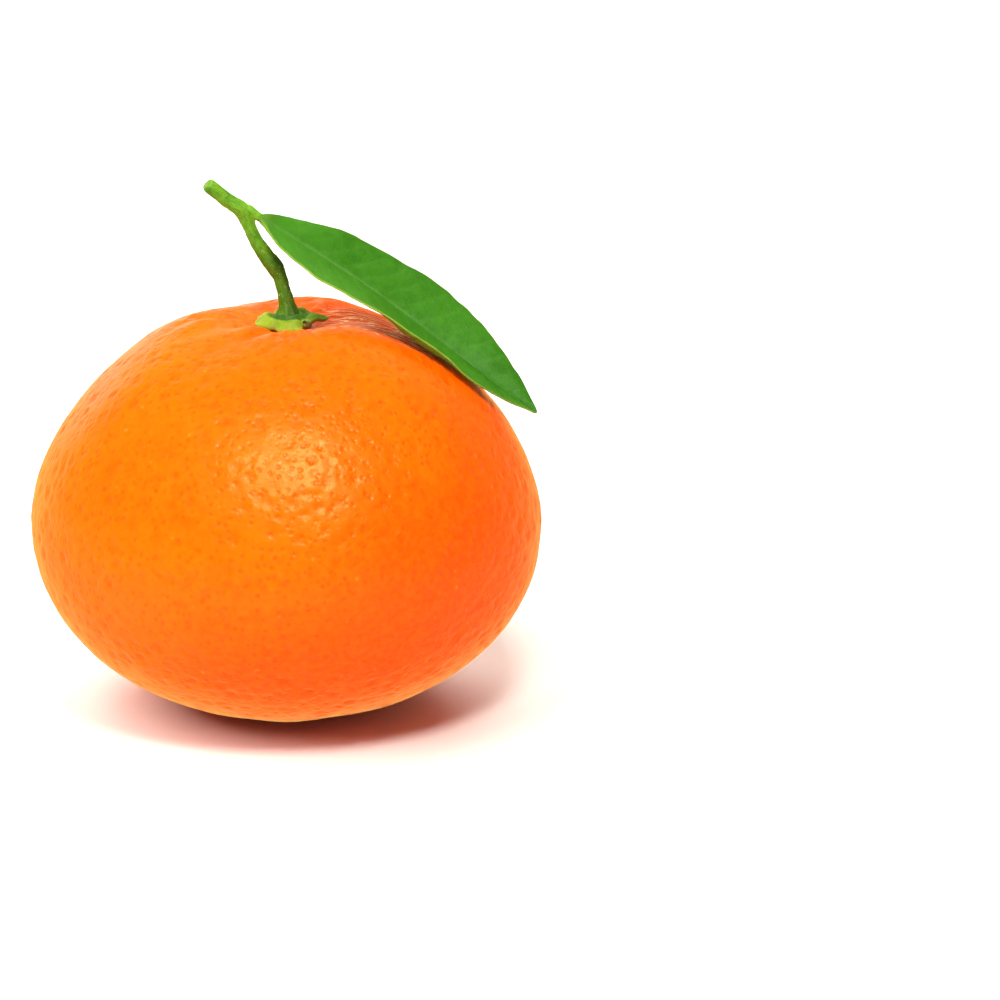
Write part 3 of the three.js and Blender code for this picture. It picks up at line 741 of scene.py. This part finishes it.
def peel_material():
    m = Nodes("peel")
    # colour: orange in soft patches, redder in the pits, paler flecks between them
    patch = m.range(m.noise(0.055, 2.0), 0.32, 0.68)
    colour = m.mix(patch, (0.96, 0.095, 0.0), (0.98, 0.117, 0.0))
    blotch = m.range(m.noise(0.23, 3.0), 0.42, 0.72)
    colour = m.mix(m.math("MULTIPLY", blotch, 0.24), colour, (0.93, 0.088, 0.0))
    # painted shade: the lower right side is a deeper, redder orange, standing in for the shade of nearby fruit
    shaded_side = m.add("ShaderNodeVectorMath", operation="DOT_PRODUCT")
    m.link(m.coord, shaded_side.inputs[0])
    shaded_side.inputs[1].default_value = (24.0, -4.0, -26.0)
    colour = m.mix(m.range(shaded_side.outputs["Value"], -0.74, 0.42, 0.0, 0.84), colour, (0.90, 0.046, 0.0))
    gland = m.voronoi(0.92)
    pore = m.range(gland.outputs["Distance"], 0.12, 0.42, 1.0, 0.0)
    fine = m.voronoi(1.45)
    dot = m.range(fine.outputs["Distance"], 0.08, 0.30, 1.0, 0.0)
    some = m.range(m.noise(0.9, 1.0), 0.45, 0.62)
    fleck_cell = m.voronoi(0.62, vector=m.scaled(1.0))
    fleck = m.range(fleck_cell.outputs["Distance"], 0.10, 0.26, 1.0, 0.0)
    fleck = m.math("MULTIPLY", fleck, m.range(m.noise(0.33, 2.0), 0.55, 0.72))
    pit = m.attribute("pit")
    grain = m.range(m.noise(1.15, 2.0, 0.6), 0.36, 0.66)
    colour = m.mix(m.math("MULTIPLY", grain, 0.26), colour, (0.98, 0.165, 0.002))
    colour = m.mix(m.math("MULTIPLY", pore, 0.50), colour, (0.84, 0.058, 0.0))
    colour = m.mix(m.math("MULTIPLY", m.math("MULTIPLY", dot, some), 0.42), colour, (0.86, 0.062, 0.0))
    colour = m.mix(m.math("MULTIPLY", pit, 0.42), colour, (0.88, 0.056, 0.0))
    colour = m.mix(m.math("MULTIPLY", fleck, 0.55), colour, (1.0, 0.25, 0.03))
    # the wrinkled part: a deeper orange, partly the peel's own tone and partly painted shade of the trough under the
    # leaf; pale crests and lines are painted highlight on the wrinkle ridges, and the brownish furrows are painted
    # shade between them
    zone = m.attribute("wrinkle")
    crest_highlight = m.attribute("crest_highlight")
    lay = m.add("ShaderNodeMapping")
    m.link(m.coord, lay.inputs["Vector"])
    lay.inputs["Rotation"].default_value = (0.0, 0.0, math.radians(14))
    lay.inputs["Scale"].default_value = (0.38, 1.0, 0.38)
    lines = m.add("ShaderNodeTexWave", wave_type="BANDS", bands_direction="Y", wave_profile="SIN")
    m.link(lay.outputs[0], lines.inputs["Vector"])
    for key, value in (("Scale", 400.0), ("Distortion", 10.0), ("Detail", 3.0), ("Detail Scale", 1.6), ("Detail Roughness", 0.55)):
        lines.inputs[key].default_value = value
    line = m.math("MULTIPLY", m.range(lines.outputs["Fac"], 0.72, 0.96), zone)
    furrow_shade = m.math("MULTIPLY", m.range(lines.outputs["Fac"], 0.40, 0.05), zone)
    # deeper orange over the trough: peel tone plus painted shade under the leaf
    colour = m.mix(m.math("MULTIPLY", zone, 0.66), colour, (0.66, 0.062, 0.003))
    # painted shade: a darker orange on the trough's far wall behind the calyx, where the stem and leaf cast their
    # shadow
    colour = m.mix(m.math("MULTIPLY", m.attribute("far_wall_shade"), 0.62), colour, (0.62, 0.050, 0.002))
    # painted highlight on the wrinkle crests
    colour = m.mix(m.math("MULTIPLY", m.range(crest_highlight, 0.62, 1.0), 0.55), colour, (0.80, 0.20, 0.06))
    # painted shade in the furrows between the wrinkles
    colour = m.mix(m.math("MULTIPLY", furrow_shade, 0.42), colour, (0.46, 0.032, 0.002))
    # pale lines: painted highlight on the fine wrinkle ridges
    colour = m.mix(m.math("MULTIPLY", line, 0.92), colour, (1.0, 0.58, 0.32))
    scar = m.attribute("scar")
    colour = m.mix(m.range(scar, 0.15, 0.75), colour, (0.14, 0.05, 0.015))
    # roughness and relief
    rough = m.range(m.noise(0.5, 3.0), 0.3, 0.7, 0.31, 0.41, "LINEAR")
    height = m.math("MULTIPLY", m.range(gland.outputs["Distance"], 0.02, 0.52, 1.0, 0.0), -0.028)
    height = m.math("ADD", height, m.math("MULTIPLY", pore, -0.028))
    height = m.math("ADD", height, m.math("MULTIPLY", dot, -0.017))
    height = m.math("ADD", height, m.math("MULTIPLY", m.noise(1.6, 3.0), 0.035))
    height = m.math("ADD", height, m.math("MULTIPLY", m.noise(0.55, 2.0), 0.095))
    height = m.math("ADD", height, m.math("MULTIPLY", line, 0.12))
    normal = m.bump(height, 1.0)
    m.set(Base_Color=colour, Roughness=rough, Normal=normal, IOR=1.42)
    m.shader.inputs["Specular IOR Level"].default_value = 0.28
    m.shader.inputs["Specular Tint"].default_value = (1.0, 0.86, 0.38, 1)
    m.shader.inputs["Subsurface Weight"].default_value = 0.14
    m.shader.inputs["Subsurface Radius"].default_value = (1.0, 0.30, 0.05)
    m.shader.inputs["Subsurface Scale"].default_value = 0.0012
    return m.material


def calyx_material():
    m = Nodes("calyx")
    radius = m.attribute("radius")
    tone = m.range(m.noise(0.55, 4.0), 0.3, 0.7)
    pale = m.mix(tone, (0.145, 0.225, 0.009), (0.225, 0.305, 0.016))
    dark = m.mix(tone, (0.014, 0.062, 0.003), (0.040, 0.110, 0.005))
    colour = m.mix(m.range(radius, 2.0, 3.3), dark, pale)
    # darker green on the right and back lobes
    colour = m.mix(m.math("MULTIPLY", m.attribute("old"), 0.75), colour, m.mix(tone, (0.050, 0.135, 0.006), (0.110, 0.210, 0.012)))
    fleck = m.range(m.voronoi(2.4).outputs["Distance"], 0.08, 0.26, 1.0, 0.0)
    colour = m.mix(m.math("MULTIPLY", fleck, 0.30), colour, (0.08, 0.135, 0.01))
    edge = m.range(m.attribute("edge"), 0.93, 1.0)
    colour = m.mix(m.math("MULTIPLY", edge, 0.35), colour, (0.17, 0.15, 0.02))
    colour = m.mix(m.attribute("dry"), colour, (0.045, 0.028, 0.008))
    height = m.math("ADD", m.math("MULTIPLY", m.noise(1.4, 4.0), 0.09), m.math("MULTIPLY", fleck, -0.03))
    m.set(Base_Color=colour, Roughness=m.range(m.noise(1.1, 2.0), 0.3, 0.7, 0.48, 0.66, "LINEAR"), Normal=m.bump(height, 1.0))
    m.shader.inputs["Specular IOR Level"].default_value = 0.28
    m.shader.inputs["Subsurface Weight"].default_value = 0.10
    m.shader.inputs["Subsurface Radius"].default_value = (0.5, 0.8, 0.1)
    m.shader.inputs["Subsurface Scale"].default_value = 0.0006
    return m.material


def dry_material():
    m = Nodes("dry_tip")
    tone = m.range(m.noise(1.6, 4.0), 0.3, 0.7)
    colour = m.mix(tone, (0.02, 0.013, 0.005), (0.10, 0.075, 0.018))
    m.set(Base_Color=colour, Roughness=m.range(tone, 0, 1, 0.45, 0.7), Normal=m.bump(m.noise(2.4, 3.0), 0.08))
    return m.material


def stem_material():
    m = Nodes("stem")
    along = m.attribute("along")
    tone = m.range(m.noise(0.45, 4.0, 0.6, 0.4), 0.3, 0.7)
    colour = m.mix(tone, (0.060, 0.230, 0.006), (0.165, 0.385, 0.018))
    # the lower half is darker and a little browner, the upper half fresh
    lower = m.math("SUBTRACT", 1.0, m.range(along, 0.28, 0.62))
    colour = m.mix(m.math("MULTIPLY", lower, 0.84), colour, (0.042, 0.104, 0.003))
    streak = m.add("ShaderNodeMapping")
    m.link(m.coord, streak.inputs["Vector"])
    streak.inputs["Scale"].default_value = (1.0, 1.0, 0.22)
    lines = m.range(m.noise(1.7, 4.0, 0.6, 0.2, vector=streak.outputs[0]), 0.52, 0.72)
    colour = m.mix(m.math("MULTIPLY", lines, 0.36), colour, (0.15, 0.27, 0.03))
    brown = m.range(m.noise(0.8, 4.0, 0.6, vector=streak.outputs[0]), 0.56, 0.74)
    colour = m.mix(m.math("MULTIPLY", m.math("MULTIPLY", brown, lower), 0.34), colour, (0.068, 0.090, 0.008))
    speck = m.range(m.voronoi(2.4).outputs["Distance"], 0.08, 0.26, 1.0, 0.0)
    speck = m.math("MULTIPLY", speck, m.range(m.noise(0.7, 1.0), 0.44, 0.56))
    grit = m.range(m.noise(3.2, 3.0, 0.7), 0.48, 0.70)
    colour = m.mix(m.math("MULTIPLY", grit, 0.40), colour, (0.020, 0.085, 0.003))
    colour = m.mix(m.math("MULTIPLY", speck, 0.80), colour, (0.36, 0.46, 0.14))
    # painted shade on the stem's right side at the kink and the foot
    colour = m.mix(m.math("MULTIPLY", m.attribute("shade"), 0.80), colour, (0.012, 0.055, 0.002))
    cap = m.attribute("cap")
    radial = m.attribute("radial")
    face = m.mix(m.range(radial, 0.30, 0.48), (0.17, 0.26, 0.06), (0.12, 0.23, 0.03))
    face = m.mix(m.range(radial, 0.66, 0.80), face, (0.09, 0.18, 0.02))
    colour = m.mix(cap, colour, face)
    height = m.math("ADD", m.math("MULTIPLY", m.noise(1.3, 5.0, 0.65, vector=streak.outputs[0]), 0.13), m.math("MULTIPLY", speck, 0.05))
    m.set(Base_Color=colour, Roughness=m.range(m.noise(1.0, 2.0), 0.3, 0.7, 0.42, 0.60, "LINEAR"), Normal=m.bump(height, 1.0))
    m.shader.inputs["Specular IOR Level"].default_value = 0.22
    m.shader.inputs["Subsurface Weight"].default_value = 0.08
    m.shader.inputs["Subsurface Radius"].default_value = (0.5, 0.8, 0.1)
    m.shader.inputs["Subsurface Scale"].default_value = 0.0005
    return m.material


def leaf_material(kind):
    m = Nodes("leaf_" + kind)
    along, vein, mid = m.attribute("along"), m.attribute("vein"), m.attribute("midrib")
    patch = m.range(m.noise(0.10, 3.0), 0.3, 0.7)
    mottle = m.range(m.noise(0.75, 4.0, 0.6), 0.35, 0.7)
    cells = m.range(m.voronoi(2.6, "DISTANCE_TO_EDGE").outputs["Distance"], 0.0, 0.09, 1.0, 0.0)
    if kind == "top":
        colour = m.mix(patch, (0.018, 0.118, 0.001), (0.027, 0.150, 0.002))
        colour = m.mix(m.math("MULTIPLY", mottle, 0.45), colour, (0.041, 0.190, 0.004))
        colour = m.mix(m.math("MULTIPLY", vein, 0.16), colour, (0.080, 0.220, 0.030))
        # painted light: the near half of the blade is a brighter green, making up for the key light it faces away from
        colour = m.mix(m.range(m.attribute("across"), -0.9, 0.15, 0.45, 0.0), colour, (0.062, 0.205, 0.016))
        fade = m.range(along, 0.15, 0.85, 0.50, 0.12)
        colour = m.mix(m.math("MULTIPLY", mid, fade), colour, (0.125, 0.27, 0.065))
        colour = m.mix(m.math("MULTIPLY", cells, 0.10), colour, (0.07, 0.21, 0.02))
        colour = m.mix(m.range(along, 0.02, 0.34, 0.60, 0.0), colour, (0.052, 0.220, 0.009))
        grit = m.range(m.noise(2.3, 3.0, 0.65), 0.50, 0.70)
        colour = m.mix(m.math("MULTIPLY", grit, 0.24), colour, (0.065, 0.235, 0.012))
        rough = m.range(mottle, 0, 1, 0.40, 0.52, "LINEAR")
        height = m.math("ADD", m.math("MULTIPLY", cells, -0.016), m.math("MULTIPLY", m.noise(1.5, 4.0), 0.060))
        m.shader.inputs["Specular IOR Level"].default_value = 0.21
    elif kind == "under":
        colour = m.mix(patch, (0.080, 0.250, 0.018), (0.115, 0.310, 0.028))
        colour = m.mix(m.math("MULTIPLY", vein, 0.45), colour, (0.17, 0.33, 0.06))
        colour = m.mix(m.math("MULTIPLY", mid, 0.7), colour, (0.20, 0.34, 0.07))
        colour = m.mix(m.math("MULTIPLY", cells, 0.35), colour, (0.16, 0.31, 0.05))
        rough = m.range(mottle, 0, 1, 0.58, 0.70, "LINEAR")
        height = m.math("ADD", m.math("MULTIPLY", cells, 0.03), m.math("MULTIPLY", m.noise(1.5, 4.0), 0.04))
        m.shader.inputs["Specular IOR Level"].default_value = 0.28
    else:
        colour = m.mix(patch, (0.19, 0.28, 0.022), (0.26, 0.33, 0.035))
        rough = m.range(mottle, 0, 1, 0.50, 0.60, "LINEAR")
        height = m.math("MULTIPLY", m.noise(2.0, 3.0), 0.02)
    if kind != "margin":
        rim = m.range(m.attribute("rim"), 0.45, 1.0)
        colour = m.mix(m.math("MULTIPLY", rim, 0.65), colour, (0.21, 0.30, 0.025))
    stalk = m.range(along, 0.0, 0.06, 1.0, 0.0)
    colour = m.mix(m.math("MULTIPLY", stalk, 0.7), colour, (0.12, 0.24, 0.025))
    m.set(Base_Color=colour, Roughness=rough, Normal=m.bump(height, 1.0))
    # light comes through to the underside, and little of it back out of the top
    m.shader.inputs["Subsurface Weight"].default_value = 0.06 if kind == "top" else 0.60
    m.shader.inputs["Subsurface Radius"].default_value = (0.4, 0.9, 0.1)
    m.shader.inputs["Subsurface Scale"].default_value = 0.0005
    return m.material


def floor_material():
    m = Nodes("floor")
    tone = m.range(m.noise(0.004, 2.0), 0.3, 0.7)
    colour = m.mix(tone, (0.76, 0.77, 0.80), (0.78, 0.79, 0.82))
    m.set(Base_Color=colour, Roughness=m.range(tone, 0, 1, 0.62, 0.68))
    m.shader.inputs["Specular IOR Level"].default_value = 0.2
    return m.material


# ---------------------------------------------------------------- the object
peel = build_peel()
peel.data.materials.append(peel_material())
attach(peel, "root")
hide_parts("fruit")

star, tip = build_calyx()
star.data.materials.append(calyx_material())
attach(star, "root")
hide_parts("calyx")
tip.data.materials.append(dry_material())
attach(tip, "root")

twig = build_stem()
twig.data.materials.append(stem_material())
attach(twig, "root")
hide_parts("stem")

leaf = build_leaf()
for kind in ("top", "under", "margin"):
    leaf.data.materials.append(leaf_material(kind))
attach(leaf, "root")
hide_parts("leaf")

# ---------------------------------------------------------------- floor, light and camera
disc = 96
ring = [(0.62 * math.cos(2 * math.pi * k / disc), 0.62 * math.sin(2 * math.pi * k / disc), -0.00004) for k in range(disc)]
floor_mesh = bpy.data.meshes.new("floor")
floor_mesh.from_pydata(ring, [], [list(range(disc))])
floor = bpy.data.objects.new("floor", floor_mesh)
scene.collection.objects.link(floor)
floor.data.materials.append(floor_material())
# the matt floor gives light but no reflection of itself
floor.visible_glossy = False

ROOM_FRONT, ROOM_BACK = 0.16, 0.36
world = bpy.data.worlds.new("studio")
scene.world = world
world.use_nodes = True
sky = world.node_tree.nodes
links = world.node_tree.links
paper = sky["Background"]
paper.inputs["Color"].default_value = (1.0, 1.0, 1.0, 1)
paper.inputs["Strength"].default_value = 1.0
# the room: bright above and behind the object, dim towards the front
room = sky.new("ShaderNodeBackground")
where = sky.new("ShaderNodeTexCoord")
parts = sky.new("ShaderNodeSeparateXYZ")
links.new(where.outputs["Generated"], parts.inputs[0])
behind = sky.new("ShaderNodeMapRange")
behind.inputs["From Min"].default_value, behind.inputs["From Max"].default_value = -0.6, 0.9
behind.inputs["To Min"].default_value, behind.inputs["To Max"].default_value = ROOM_FRONT, ROOM_BACK
links.new(parts.outputs["Y"], behind.inputs["Value"])
links.new(behind.outputs[0], room.inputs["Strength"])
room.inputs["Color"].default_value = (1.0, 0.93, 0.66, 1)
# below the horizon: the warm light that a gloss picks up from the lit floor and the fruit together
glow = sky.new("ShaderNodeBackground")
glow.inputs["Color"].default_value = (1.0, 0.80, 0.22, 1)
far_side = sky.new("ShaderNodeMapRange")
far_side.inputs["From Min"].default_value, far_side.inputs["From Max"].default_value = -0.3, 0.8
far_side.inputs["To Min"].default_value, far_side.inputs["To Max"].default_value = 0.10, 2.00
links.new(parts.outputs["Y"], far_side.inputs["Value"])
links.new(far_side.outputs[0], glow.inputs["Strength"])
below = sky.new("ShaderNodeMapRange")
below.inputs["From Min"].default_value, below.inputs["From Max"].default_value = -0.04, 0.02
below.inputs["To Min"].default_value, below.inputs["To Max"].default_value = 1.0, 0.0
links.new(parts.outputs["Z"], below.inputs["Value"])
around = sky.new("ShaderNodeMixShader")
links.new(below.outputs[0], around.inputs[0])
links.new(room.outputs[0], around.inputs[1])
links.new(glow.outputs[0], around.inputs[2])
path = sky.new("ShaderNodeLightPath")
choose = sky.new("ShaderNodeMixShader")
links.new(path.outputs["Is Camera Ray"], choose.inputs[0])
links.new(around.outputs[0], choose.inputs[1])
links.new(paper.outputs[0], choose.inputs[2])
links.new(choose.outputs[0], sky["World Output"].inputs["Surface"])


WARM = (1.0, 0.965, 0.84)


def softbox(name, at, to, width, height, watts):
    data = bpy.data.lights.new(name, "AREA")
    data.shape = "RECTANGLE"
    data.size, data.size_y, data.energy = width, height, watts
    data.color = WARM
    ob = bpy.data.objects.new(name, data)
    ob.location = at
    ob.rotation_euler = (Vector(to) - Vector(at)).to_track_quat("-Z", "Y").to_euler()
    ob.visible_camera = False
    scene.collection.objects.link(ob)
    return ob


middle = (0.0, 0.0, 0.03)
key = softbox("key", (-0.92, -0.66, 1.36), middle, 1.30, 1.30, 44.0)
key.visible_glossy = False
softbox("front", (0.084, -0.40, 0.605), middle, 0.15, 0.15, 4.4)
shine = softbox("shine", (0.055, -0.42, 0.59), middle, 0.30, 0.24, 3.3)
shine.visible_diffuse = False
sweep = softbox("sweep", (0.05, 1.00, 1.00), (0.05, 0.55, 0.0), 1.4, 0.6, 22.0)
sweep.visible_glossy = False
softbox("back", (-0.36, 0.86, 0.22), middle, 0.60, 0.36, 1.1)

camera_data = bpy.data.cameras.new("camera")
camera_data.sensor_width = 36.0
camera_data.lens = 4163.0 * 36.0 / 1000.0
camera_data.clip_start, camera_data.clip_end = 0.05, 10.0
camera = bpy.data.objects.new("camera", camera_data)
elevation = math.radians(17.0)
aim = Vector((28.82, 0.0, 28.04)) * MM
camera.location = aim - 0.560 * Vector((0.0, math.cos(elevation), -math.sin(elevation)))
camera.rotation_euler = (math.pi / 2 - elevation, 0.0, 0.0)
scene.collection.objects.link(camera)
scene.camera = camera
scene.view_settings.view_transform = "Standard"
